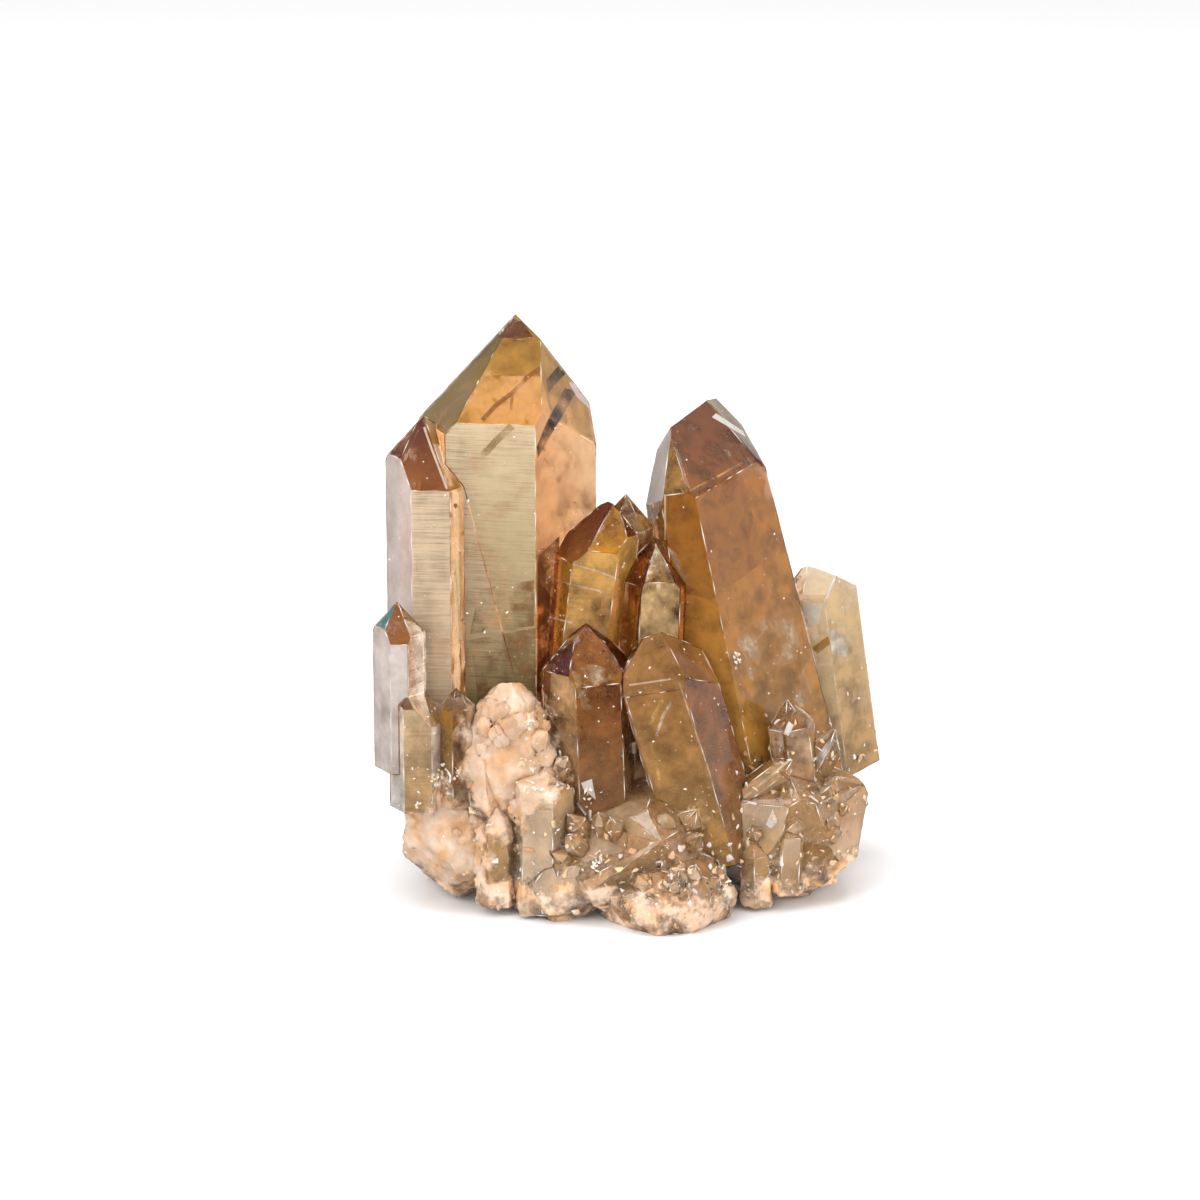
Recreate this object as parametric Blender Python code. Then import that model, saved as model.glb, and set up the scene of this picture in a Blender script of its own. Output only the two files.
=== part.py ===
"""A citrine specimen: smoky orange quartz points grown together on one lumpy root.

The whole group is one solid. Each point is a hexagonal prism with sloping tip faces, the root is a heap of
broken lumps with a flat underside, and a Boolean union joins them where they overlap. Lengths are in
millimetres inside this file and become metres when the mesh is made. +X is the viewer's right, -Y faces the
viewer and +Z is up. Azimuths are in degrees from -Y, growing towards +X.
"""
import math
import random

import bmesh
import bpy
from mathutils import Matrix, Vector

# The group measures about 50 mm across, 38 mm from front to back and 58 mm to the tip of the tall left point.
NAME = "citrine_cluster"
MM = 0.001
PYRAMID_SLOPE = 51.8
CUT_TOLERANCE = 1e-5
BLANK_WIDTH = 2.5
ROOM_ABOVE = 2.0
CRUST_SEED = 23
UPWARD_PULL = 0.4
FLOOR_BLOCK_HEIGHT = 30.0
FLOOR_BLOCK_WIDTH = 120.0


def direction(azimuth, slope):
    """Outward direction of a face: its azimuth, and how far it stands off level (90 is upright)."""
    turn = math.radians(azimuth)
    tilt = math.radians(slope)
    return Vector((math.sin(turn) * math.sin(tilt), -math.cos(turn) * math.sin(tilt), math.cos(tilt)))


def leaning(sideways, forward):
    """Rotation that tips +Z to the right by one angle and towards the viewer by the other."""
    axis = Vector((math.tan(math.radians(sideways)), -math.tan(math.radians(forward)), 1.0)).normalized()
    return Vector((0.0, 0.0, 1.0)).rotation_difference(axis).to_matrix()


def slice_off(shape, point, outward):
    """Cuts away all that lies past a plane and closes the cut."""
    cut = bmesh.ops.bisect_plane(
        shape,
        geom=shape.verts[:] + shape.edges[:] + shape.faces[:],
        dist=CUT_TOLERANCE,
        plane_co=point,
        plane_no=outward,
        clear_outer=True,
    )
    rim = [part for part in cut["geom_cut"] if isinstance(part, bmesh.types.BMEdge)]
    if len(rim) > 2:
        bmesh.ops.contextual_create(shape, geom=rim)


def pyramid(turn, cuts):
    """Quartz tip faces, 60 degrees apart, each with its depth below the tip; None leaves a face out."""
    return [(turn + 60 * side, PYRAMID_SLOPE, cut) for side, cut in enumerate(cuts) if cut is not None]


def quartz_point(tip, radius, length, turn=0.0, lean=(0.0, 0.0), flare=0.0, drawn_in=None, faces=None):
    """One crystal: a six-sided prism whose axis passes through `tip`, closed by sloping faces.

    `flare` widens the foot, in degrees. `drawn_in` moves an upright face inwards, counted from the one at
    `turn`, or outwards where it is negative. `faces` lists the tip faces as azimuth, slope and depth.
    """
    shape = bmesh.new()
    headroom = ROOM_ABOVE * radius
    bmesh.ops.create_cone(
        shape,
        cap_ends=True,
        segments=6,
        radius1=BLANK_WIDTH * radius,
        radius2=BLANK_WIDTH * radius,
        depth=length + headroom,
    )
    bmesh.ops.rotate(shape, verts=shape.verts, matrix=Matrix.Rotation(math.radians(turn), 3, "Z"))
    bmesh.ops.translate(shape, verts=shape.verts, vec=(0.0, 0.0, (headroom - length) / 2))
    half_width = radius * math.cos(math.radians(30))
    moved = drawn_in or {}
    for side in range(6):
        azimuth = turn + 60 * side
        reach = half_width - moved.get(side, 0.0)
        slice_off(shape, direction(azimuth, 90) * reach, direction(azimuth, 90 - flare))
    for azimuth, slope, depth in faces or pyramid(turn, [0.0] * 6):
        slice_off(shape, Vector((0.0, 0.0, -depth)), direction(azimuth, slope))
    bmesh.ops.rotate(shape, verts=shape.verts, matrix=leaning(*lean))
    bmesh.ops.translate(shape, verts=shape.verts, vec=tip)
    return shape


def broken_lump(centre, size, seed, breaks=14):
    """Massive quartz broken to flat faces all round; `size` is its three half-widths."""
    dice = random.Random(seed)
    shape = bmesh.new()
    bmesh.ops.create_icosphere(shape, subdivisions=1, radius=1.2)
    for _ in range(breaks):
        outward = Vector((dice.gauss(0, 1), dice.gauss(0, 1), dice.gauss(0, 1))).normalized()
        slice_off(shape, outward * dice.uniform(0.8, 1.0), outward)
    bmesh.ops.scale(shape, verts=shape.verts, vec=size)
    bmesh.ops.translate(shape, verts=shape.verts, vec=centre)
    return shape


def tall_points():
    """The points that make the skyline."""
    tall_left = quartz_point(
        (-9.3, 3.0, 58.5), 9.1, 50, turn=-11,
        faces=pyramid(-11, [0.1, None, -0.3, 0.9, 2.0, 1.4]) + [(62, 68, -8.0)],
    )
    left_side = quartz_point(
        (-16.6, -1.3, 48.6), 4.9, 40, turn=-3, drawn_in={0: -0.5, 5: 0.4},
        faces=pyramid(-3, [0.6, 1.3, 0.0, 0.0, -0.7, -0.9]),
    )
    leaning_right = quartz_point(
        (9.0, 4.0, 50.5), 5.6, 46, turn=45, lean=(-11, 0), flare=3,
        drawn_in={0: 0.4, 3: 1.6, 4: -1.3, 5: -3.2},
        faces=[(41, 52, 2.6), (-81, 65, -3.4), (82, 56, 0.7), (-120, 40, 2.6), (-15, 51, -1.6)],
    )
    middle = quartz_point(
        (0.5, -3.0, 41.0), 3.9, 36, lean=(7, -1), drawn_in={5: -0.4},
        faces=pyramid(0, [0.9, -0.6, 0.0, 0.0, 0.4, 1.9]),
    )
    behind_middle = quartz_point((2.6, 0.5, 40.1), 3.0, 30, turn=10, lean=(3, 0))
    pale_right = quartz_point(
        (21.6, 8.0, 32.1), 4.6, 23, turn=-9, lean=(-8, 0), drawn_in={0: 0.3, 1: 1.2},
        faces=[(-2, 41, 0.6), (118, 34, 1.6), (180, 25, 1.4), (-69, 52, 0.0), (-129, 52, 0.0)],
    )
    return [tall_left, left_side, leaning_right, middle, behind_middle, pale_right]


def front_points():
    """Shorter points that stand in front of the tall ones, from left to right."""
    far_left = quartz_point(
        (-19.9, -8.0, 31.3), 2.7, 17, drawn_in={0: -0.4, 5: 0.4}, faces=pyramid(0, [0.2, 0.1, 0, 0, 0, 0])
    )
    low_left = quartz_point(
        (-18.0, -9.0, 23.6), 2.8, 13, turn=2, faces=pyramid(2, [-0.7, 1.2, 0.0, 0.0, 0.0, -0.9])
    )
    dark_stub = quartz_point((-14.2, -9.0, 22.8), 1.8, 12, turn=20)
    dark_step = quartz_point((-12.2, -10.0, 18.0), 1.8, 9, turn=-15, lean=(-6, 4))
    domed = quartz_point(
        (-1.5, -7.0, 31.5), 4.6, 24, turn=15, lean=(-2, 0),
        faces=pyramid(15, [3.0, 2.0, 2.0, 2.0, 2.0, 2.0]) + [(-20, 10, 3.0), (-75, 38, 3.0), (75, 38, 3.0)],
    )
    clear_middle = quartz_point(
        (5.5, -2.5, 36.6), 4.0, 30, turn=11, lean=(2, -1), faces=pyramid(11, [-0.4, 0.2, 0, 0, 0, 0])
    )
    smoky_front = quartz_point(
        (5.2, -10.0, 31.9), 5.2, 28, turn=-8, lean=(-16, 0), drawn_in={0: 3.2, 1: 3.2, 5: -0.6, 3: -2.0},
        faces=[(-5, 60, 6.8), (66, 65, 5.6), (180, 50, 1.7), (-85, 43, 2.0)],
    )
    return [far_left, low_left, dark_stub, dark_step, domed, clear_middle, smoky_front]


def right_points():
    """Small points and columns on the right shoulder."""
    return [
        quartz_point((18.6, -5.0, 20.4), 2.4, 12, turn=15, lean=(-8, 4)),
        quartz_point((23.5, -4.0, 17.0), 1.9, 10, turn=35, lean=(28, 8)),
        quartz_point((19.1, -8.0, 15.0), 1.4, 10, turn=-20, lean=(50, 10)),
        quartz_point((18.9, -9.4, 9.8), 1.8, 8, turn=10, lean=(3, 4)),
        quartz_point((22.4, -7.4, 10.2), 1.8, 8, turn=-12, lean=(5, 4)),
        quartz_point((15.4, -9.8, 7.6), 1.6, 7, turn=22, lean=(-2, 5)),
    ]


def foot_points():
    """Stubby crystals along the front of the root."""
    return [
        quartz_point((-10.2, -10.8, 11.0), 2.0, 10, turn=4, lean=(0, 3)),
        quartz_point(
            (-5.6, -11.0, 15.6), 3.1, 15, turn=-12, lean=(0, 2), faces=[(0, 28, 1.0), (120, 30, 1.0), (240, 34, 0.6)]
        ),
        quartz_point((-3.6, -12.6, 8.0), 1.7, 9, turn=18, lean=(4, 5)),
        quartz_point((2.2, -14.0, 9.8), 2.3, 9, turn=25, lean=(-14, 12)),
        quartz_point((7.6, -16.2, 5.6), 1.5, 6, turn=0, lean=(8, 20)),
        quartz_point((9.2, -15.2, 5.4), 1.5, 7, turn=30, lean=(12, 22)),
        quartz_point((11.6, -12.6, 6.0), 1.8, 8, turn=10, lean=(24, 16)),
        quartz_point((6.6, -18.0, 2.4), 1.1, 5, turn=22, lean=(0, 35)),
    ]


def back_points():
    """Points behind the skyline, low enough not to show from the front."""
    return [
        quartz_point((-15.5, 11.0, 33.0), 4.2, 28, turn=14, lean=(-7, -12)),
        quartz_point((-6.5, 14.0, 27.0), 3.6, 22, turn=-20, lean=(-3, -16)),
        quartz_point((2.5, 12.5, 31.0), 4.6, 26, turn=8, lean=(2, -10)),
        quartz_point((12.5, 13.0, 36.0), 5.0, 31, turn=24, lean=(-2, -8)),
        quartz_point((19.5, 15.5, 21.0), 3.2, 17, turn=-6, lean=(10, -18)),
        quartz_point((-17.6, 6.5, 22.0), 2.6, 15, turn=30, lean=(-8, -6)),
        quartz_point((6.5, 17.5, 16.0), 2.4, 12, turn=16, lean=(-6, -24)),
        quartz_point((-12.5, 17.0, 14.0), 2.2, 11, turn=40, lean=(-12, -24)),
    ]


ROOT_LUMPS = {
    "left foot": ((-11.8, -0.5, 4.0), (5.8, 7.5, 5.8)),
    "left shoulder": ((-13.6, -2.5, 10.0), (6.4, 6.5, 6.0)),
    "sugary peak": ((-9.0, -8.5, 16.2), (3.9, 3.6, 6.6)),
    "sugary slope": ((-5.2, -8.0, 9.5), (4.6, 4.4, 8.5)),
    "front left foot": ((-3.0, -9.0, 3.5), (6.0, 5.5, 4.5)),
    "front middle": ((3.0, -8.5, 5.5), (9.0, 7.5, 7.0)),
    "front toe": ((7.0, -12.0, 2.5), (6.5, 6.0, 4.5)),
    "right shoulder": ((17.0, -2.0, 6.5), (9.5, 8.5, 8.0)),
    "back left": ((-7.0, 8.0, 6.5), (12.5, 10.0, 9.0)),
    "back right": ((11.0, 8.5, 7.0), (14.0, 10.5, 9.5)),
    "heart": ((1.0, 0.0, 8.0), (12.0, 9.0, 10.0)),
    "white knob": ((-15.8, -6.5, 11.5), (1.7, 1.6, 1.5)),
    "white nib": ((-14.0, -7.5, 12.0), (1.0, 1.2, 1.0)),
    "left block": ((-14.2, -6.6, 7.4), (5.2, 4.6, 6.0)),
}
# How many crust crystals sit on a lump, and their usual radius.
CRUST = {
    "sugary peak": (16, 0.75),
    "sugary slope": (16, 0.75),
    "left foot": (8, 0.8),
    "front middle": (10, 1.0),
    "front toe": (12, 0.8),
    "right shoulder": (14, 0.9),
    "back left": (16, 1.3),
    "back right": (18, 1.3),
    "left block": (14, 0.6),
}


def root_lumps():
    """The root: lumps of massive quartz heaped into one mass."""
    return [broken_lump(centre, size, seed) for seed, (centre, size) in enumerate(ROOT_LUMPS.values(), 1)]


def crust_points():
    """Tiny crystals scattered over the outer faces of the lumps, each growing straight out."""
    dice = random.Random(CRUST_SEED)
    points = []
    for lump, (count, usual_radius) in CRUST.items():
        centre, size = ROOT_LUMPS[lump]
        behind = 1 if lump.startswith("back") else -1
        for _ in range(count):
            out = Vector((dice.uniform(-1, 1), behind * dice.uniform(0.3, 1.0), dice.uniform(0.15, 1.0)))
            out.normalize()
            spot = Vector(centre) + Vector([half * part for half, part in zip(size, out)])
            radius = usual_radius * dice.uniform(0.7, 1.4)
            sideways = math.degrees(math.atan2(out.x, out.z + UPWARD_PULL))
            forward = math.degrees(math.atan2(-out.y, out.z + UPWARD_PULL))
            turn = dice.uniform(0, 60)
            if spot.z > 2 * radius:
                tip = spot + out * radius
                points.append(quartz_point(tip, radius, 5 * radius, turn, (sideways, forward)))
    return points


def as_object(name, shape, collection):
    """Turns a millimetre shape into an object in metres."""
    bmesh.ops.recalc_face_normals(shape, faces=shape.faces)
    bmesh.ops.scale(shape, verts=shape.verts, vec=(MM, MM, MM))
    mesh = bpy.data.meshes.new(name)
    shape.to_mesh(mesh)
    shape.free()
    piece = bpy.data.objects.new(name, mesh)
    collection.objects.link(piece)
    return piece


def new_collection(name):
    collection = bpy.data.collections.new(name)
    bpy.context.scene.collection.children.link(collection)
    return collection


def citrine():
    """Smoky orange quartz."""
    material = bpy.data.materials.new("citrine")
    material.use_nodes = True
    shader = material.node_tree.nodes["Principled BSDF"]
    shader.inputs["Base Color"].default_value = (0.62, 0.36, 0.14, 1.0)
    shader.inputs["Roughness"].default_value = 0.12
    shader.inputs["Metallic"].default_value = 0.0
    return material


def floor_block():
    """A block that fills all below the level the group stands on."""
    shape = bmesh.new()
    bmesh.ops.create_cube(shape, size=1.0)
    size = (FLOOR_BLOCK_WIDTH, FLOOR_BLOCK_WIDTH, FLOOR_BLOCK_HEIGHT)
    bmesh.ops.scale(shape, verts=shape.verts, vec=size)
    bmesh.ops.translate(shape, verts=shape.verts, vec=(0.0, 0.0, -FLOOR_BLOCK_HEIGHT / 2))
    return shape


def fill_hollows(mesh):
    """Keeps the outer skin and drops the skins of hollows that the joined lumps close in."""
    shape = bmesh.new()
    shape.from_mesh(mesh)
    loose = set(shape.faces)
    skins = []
    while loose:
        skin = [loose.pop()]
        for face in skin:
            for near in {other for edge in face.edges for other in edge.link_faces} & loose:
                loose.remove(near)
                skin.append(near)
        skins.append(skin)
    outer = max(skins, key=len)
    inner = [face for skin in skins if skin is not outer for face in skin]
    bmesh.ops.delete(shape, geom=inner, context="FACES")
    shape.to_mesh(mesh)
    shape.free()


def grow_together(shapes, group, cutters):
    """Joins all the shapes into one solid and cuts it level underneath."""
    first, *rest = shapes
    cluster = as_object(NAME, first, group)
    for number, shape in enumerate(rest):
        as_object(f"joined_{number}", shape, cutters)
    union = cluster.modifiers.new("grown together", "BOOLEAN")
    union.operation = "UNION"
    union.solver = "EXACT"
    union.operand_type = "COLLECTION"
    union.collection = cutters
    union.use_self = True
    joined = bpy.data.meshes.new_from_object(cluster.evaluated_get(bpy.context.evaluated_depsgraph_get()))
    fill_hollows(joined)
    stand_on_origin(joined)
    cluster.modifiers.clear()
    cluster.data = joined
    for piece in list(cutters.objects):
        bpy.data.objects.remove(piece, do_unlink=True)
    floor = as_object("floor_block", floor_block(), cutters)
    floor.hide_render = True
    floor.display_type = "WIRE"
    level = cluster.modifiers.new("level underside", "BOOLEAN")
    level.operation = "DIFFERENCE"
    level.solver = "EXACT"
    level.object = floor
    return cluster


def stand_on_origin(mesh):
    """Puts the middle of the group's footprint box at the origin."""
    corners = [vertex.co for vertex in mesh.vertices]
    low = Vector([min(corner[axis] for corner in corners) for axis in range(3)])
    high = Vector([max(corner[axis] for corner in corners) for axis in range(3)])
    mesh.transform(Matrix.Translation((-(low.x + high.x) / 2, -(low.y + high.y) / 2, 0.0)))


def main():
    for old in list(bpy.data.objects):
        bpy.data.objects.remove(old, do_unlink=True)
    group = new_collection("citrine specimen")
    cutters = new_collection("cutters")
    shapes = root_lumps() + tall_points() + front_points() + right_points()
    shapes += foot_points() + back_points() + crust_points()
    cluster = grow_together(shapes, group, cutters)
    cluster.data.materials.clear()
    cluster.data.materials.append(citrine())


if __name__ == "__main__":
    main()
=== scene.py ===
"""The looks of the citrine specimen: clear, smoky orange points that grow out of a milky, sugary root.

The clear quartz is one closed skin of glass that soaks up blue light. Close under its faces lie thin
clouded sheets, one to a face, and a milky skin that is full in the root and wispy in the feet of the
points. Sugar, chips and cracks are pieces of their own, and so are pale threads painted along the
edges as highlights.
"""
import math
import random

import bmesh
import bpy
from mathutils import Matrix, Vector, noise
from mathutils.bvhtree import BVHTree


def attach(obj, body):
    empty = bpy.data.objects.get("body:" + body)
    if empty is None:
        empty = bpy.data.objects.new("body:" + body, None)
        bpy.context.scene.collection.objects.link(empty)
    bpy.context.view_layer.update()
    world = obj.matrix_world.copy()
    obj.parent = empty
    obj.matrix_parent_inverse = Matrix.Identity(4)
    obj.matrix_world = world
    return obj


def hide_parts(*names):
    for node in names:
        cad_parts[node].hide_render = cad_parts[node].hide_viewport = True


MM = 0.001
CAD_NODE = "citrine_cluster"
BODY = "root"

# The photograph's view: 15 degrees above level, 450 mm away, 0.1 mm to a pixel at the point aimed at.
PHOTO_SIDE = 1200.0
FOCAL_PIXELS = 4500.0
SENSOR_WIDTH = 36.0
VIEW_ELEVATION = math.radians(15.0)
VIEW_DISTANCE = 450.0 * MM
AIM = Vector((-3.22, -0.97, 29.3)) * MM
RIGHT = Vector((1.0, 0.0, 0.0))
FORWARD = Vector((0.0, math.cos(VIEW_ELEVATION), -math.sin(VIEW_ELEVATION)))
UPWARD = Vector((0.0, math.sin(VIEW_ELEVATION), math.cos(VIEW_ELEVATION)))
EYE = AIM - FORWARD * VIEW_DISTANCE

# Quartz tones as the eye sees them, 0 to 255.
TONES = {
    "beige": (226, 192, 154),
    "sand": (212, 176, 134),
    "khaki": (158, 124, 84),
    "pearl": (222, 206, 198),
    "honey": (208, 148, 86),
    "gold": (218, 160, 94),
    "amber": (174, 116, 62),
    "brown": (150, 98, 52),
    "umber": (130, 84, 44),
    "soot": (52, 32, 18),
    "russet": (158, 99, 38),
    "fox": (184, 118, 52),
    "topaz": (192, 132, 70),
    "apricot": (218, 172, 118),
    "moss": (112, 92, 58),
    "smoke": (152, 108, 74),
    "coffee": (98, 70, 44),
    "toffee": (184, 134, 88),
    "clay": (214, 148, 106),
    "bronze": (178, 124, 72),
    "ivory": (255, 228, 190),
    "peach": (232, 188, 136),
    "bark": (86, 54, 28),
    "mauve": (140, 102, 76),
    "cream": (236, 202, 156),
    "painted teal reflection": (74, 114, 116),
    "olive": (122, 106, 66),
    "blush": (230, 184, 148),
    "tan": (196, 146, 102),
    "snow": (246, 236, 224),
}

# Faces of the points: a photograph pixel on the face, tones at its top and foot, cover, growth lines and
# clouding. Pearl on the faces that look left is a painted reflection of the pale room.
FACES = {
    "tall left, front": ((502, 538), "cream", "olive", 1.0, 1.0, 0.8),
    "tall left, foot": ((475, 628), "khaki", "tan", 0.6, 0.6, 0.8),
    "tall left, right side": ((558, 513), "peach", "amber", 0.45, 0.0, 0.2),
    "tall left, tip front": ((509, 382), "topaz", "topaz", 0.6, 0.0, 0.3),
    "tall left, tip right": ((564, 398), "honey", "gold", 0.6, 0.0, 0.3),
    "tall left, tip left": ((461, 388), "moss", "moss", 0.95, 0.2, 0.5),
    "left side, front": ((433, 585), "beige", "beige", 0.95, 1.0, 0.6),
    # Pearl on this and the other faces that look left is a painted reflection of the pale room.
    "left side, left": ((398, 538), "pearl", "pearl", 0.85, 0.0, 0.2),
    "left side, seam": ((480, 600), "beige", "olive", 1.0, 1.0, 0.8),
    "left side, right": ((458, 593), "honey", "gold", 0.4, 0.2, 0.5),
    "left side, tip": ((423, 462), "bark", "umber", 0.9, 0.0, 0.5),
    "left side, tip right": ((443, 458), "honey", "amber", 0.6, 0.0, 0.3),
    # Teal on these tip faces is a painted reflection.
    "left side, tip left": ((402, 434), "painted teal reflection", "painted teal reflection", 0.9, 0.0, 0.2),
    "left side, tip far left": ((397, 441), "painted teal reflection", "painted teal reflection", 0.9, 0.0, 0.2),
    # Pearl: a painted reflection of the pale room.
    "far left, left": ((382, 699), "pearl", "pearl", 0.85, 0.0, 0.3),
    "far left, front": ((398, 696), "bark", "tan", 0.7, 0.2, 0.6),
    "far left, tip": ((397, 628), "umber", "umber", 0.7, 0.0, 0.5),
    # Teal: a painted reflection.
    "far left, tip left": ((386, 616), "painted teal reflection", "painted teal reflection", 0.9, 0.0, 0.2),
    "low left, front": ((417, 764), "sand", "tan", 0.75, 0.3, 0.5),
    # Pearl: a painted reflection of the pale room.
    "low left, left": ((399, 773), "pearl", "pearl", 0.85, 0.0, 0.3),
    "low left, tip": ((427, 708), "tan", "tan", 0.4, 0.0, 0.6),
    "dark stub, right": ((460, 758), "umber", "umber", 0.5, 0.0, 0.8),
    "dark stub, left": ((447, 758), "amber", "tan", 0.5, 0.0, 0.6),
    "dark step, front": ((478, 794), "bark", "umber", 0.5, 0.0, 0.8),
    "leaning right, right side": ((759, 608), "russet", "bronze", 0.9, 0.0, 0.5),
    "leaning right, left side": ((702, 602), "russet", "bronze", 0.9, 0.0, 0.5),
    "leaning right, tip": ((708, 450), "coffee", "umber", 0.88, 0.0, 0.9),
    "leaning right, tip right": ((736, 428), "olive", "bark", 0.8, 0.0, 0.6),
    # Pearl: a painted reflection of the pale room.
    "leaning right, far left": ((659, 471), "pearl", "pearl", 0.9, 0.0, 0.2),
    "leaning right, tip left": ((674, 474), "amber", "honey", 0.5, 0.0, 0.5),
    "leaning right, edge": ((659, 523), "amber", "umber", 0.4, 0.0, 0.5),
    "middle, front": ((591, 593), "honey", "toffee", 0.75, 0.2, 0.7),
    "middle, tip": ((610, 534), "fox", "fox", 0.8, 0.0, 0.7),
    "middle, tip left": ((583, 535), "bark", "umber", 0.85, 0.0, 0.4),
    "middle, right": ((622, 586), "honey", "amber", 0.8, 0.0, 0.6),
    "middle, left": ((559, 605), "amber", "umber", 0.6, 0.0, 0.5),
    "clear middle, front": ((657, 627), "apricot", "tan", 0.65, 0.0, 0.8),
    "clear middle, tip": ((659, 570), "cream", "honey", 0.3, 0.0, 0.9),
    "clear middle, tip left": ((642, 565), "umber", "umber", 0.1, 0.0, 0.5),
    "clear middle, left": ((631, 627), "amber", "amber", 0.2, 0.0, 0.5),
    "smoky front, front": ((680, 765), "smoke", "toffee", 0.8, 0.0, 0.5),
    "smoky front, right": ((720, 756), "umber", "mauve", 0.8, 0.0, 0.5),
    "smoky front, tip": ((653, 669), "smoke", "smoke", 0.8, 0.0, 0.6),
    "smoky front, tip right": ((691, 660), "mauve", "brown", 0.7, 0.0, 0.4),
    "domed, front": ((600, 749), "umber", "mauve", 0.65, 0.0, 0.6),
    "domed, top": ((593, 662), "umber", "brown", 0.6, 0.0, 0.7),
    "domed, left": ((562, 722), "tan", "mauve", 0.4, 0.0, 0.8),
    "domed, left shoulder": ((561, 661), "bark", "bark", 0.6, 0.0, 0.5),
    "pale right, front": ((824, 663), "peach", "peach", 0.9, 0.1, 0.6),
    "pale right, right": ((851, 676), "peach", "tan", 0.9, 0.1, 0.6),
    "peak's body, front": ((541, 838), "blush", "blush", 0.95, 0.0, 0.3),
    "peak's body, right": ((564, 812), "tan", "blush", 0.8, 0.0, 0.4),
    "peak's body, foot": ((541, 890), "blush", "blush", 0.95, 0.0, 0.3),
    "tan crystal, front": ((498, 860), "tan", "tan", 0.8, 0.0, 0.3),
    "tan crystal, left": ((486, 860), "amber", "tan", 0.8, 0.0, 0.3),
    "pale right, tip": ((817, 584), "sand", "apricot", 0.75, 0.0, 0.3),
}
SHEET_AMOUNTS = ("cover", "lined", "clouding")
# Deeper wisps: piece, depth, margin to the face's edge and smallest face.
VEILS = (
    ("inner_veils", 1.1 * MM, 0.8 * MM, 14 * MM * MM),
    ("deep_veils", 2.6 * MM, 2.0 * MM, 40 * MM * MM),
)
VEIL_TONES = ("honey", "gold", "umber", "brown", "khaki", "cream")
SMOKE_TONES = ("brown", "umber", "amber", "smoke", "brown")
SMOKY_SIDES = (-7.0, 17.0)
SMOKY_TOP = 27.0

# Patches inside the points: photograph pixels round each, tone, cover and clouding.
PATCHES = {
    "tall left, worn cap": (
        ((503, 321), (513, 318), (523, 322), (533, 337), (499, 338)), "coffee", 0.85, 0.6,
    ),
    "tall left, band": (
        ((537, 447), (546, 424), (565, 388), (577, 391), (566, 410), (538, 458)), "soot", 0.7, 0.8,
    ),
    "tall left, upper band": (((546, 380), (563, 361), (568, 371), (549, 392)), "soot", 0.65, 0.8),
    "tall left, chipped edge": (
        ((567, 370), (574, 374), (584, 390), (590, 409), (577, 397), (570, 385)), "pearl", 0.9, 0.1,
    ),
    "tall left, white nick": (((503, 322), (506, 321), (502, 335), (499, 334)), "snow", 1.0, 0.1),
    "tall left, smoke": (((478, 590), (534, 580), (534, 626), (470, 634)), "umber", 0.1, 1.0),
    "tall left, purple foot": (((470, 640), (536, 628), (536, 696), (478, 700)), "mauve", 0.25, 1.0),
    "tall left, gap shade": (
        ((538, 556), (560, 536), (556, 600), (549, 700), (537, 720)), "coffee", 0.8, 0.9,
    ),
    "leaning right, smoke": (
        ((668, 500), (740, 470), (766, 560), (712, 600), (668, 590)), "umber", 0.05, 1.0,
    ),
    "leaning right, lower haze": (((736, 640), (790, 600), (812, 700), (770, 730)), "beige", 0.1, 1.0),
    "leaning right, white tip": (((712, 417), (716, 413), (743, 431), (746, 437)), "snow", 0.9, 0.2),
    # A painted highlight along the bright side of the clear middle point.
    "clear middle, painted highlight": (((667, 546), (675, 553), (690, 579), (683, 581)), "blush", 0.3, 1.0),
    "pale right, cream face": (((803, 603), (823, 603), (819, 624), (805, 628)), "ivory", 0.9, 0.3),
    "pale right, step": (((812, 648), (828, 636), (830, 644), (812, 658)), "amber", 0.7, 0.4),
    "pale right, lower face": (((829, 628), (846, 636), (850, 658), (832, 654)), "ivory", 0.7, 0.8),
    # Painted highlights: the white faces of the small points, the column and the stub.
    "small point, painted highlight": (
        ((788.8, 720.7), (793.8, 725), (788.8, 736), (783, 734)), "snow", 1.0, 0.1,
    ),
    "tilted point, painted highlight": (
        ((814.8, 758.6), (831.6, 736), (836, 741), (820, 766)), "snow", 0.6, 0.6,
    ),
    "column, painted highlight": (((772.7, 809), (777, 821.7), (771, 828.7), (765.7, 824.5)), "snow", 1.0, 0.1),
    "stub, painted highlight": (((581, 783), (592, 779), (596, 800), (584, 790)), "snow", 0.95, 0.2),
    "domed, pale cloud": (
        ((572, 672), (590, 664), (610, 668), (614, 696), (584, 712)), "cream", 0.1, 1.0,
    ),
    "smoky front, pale foot": (
        ((668, 790), (700, 770), (716, 812), (706, 834), (676, 826)), "tan", 0.2, 1.0,
    ),
    # A painted glint.
    "smoky front, painted glint": (((629, 744), (636, 742), (637, 753), (629, 755)), "cream", 1.0, 0.2),
}
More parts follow.
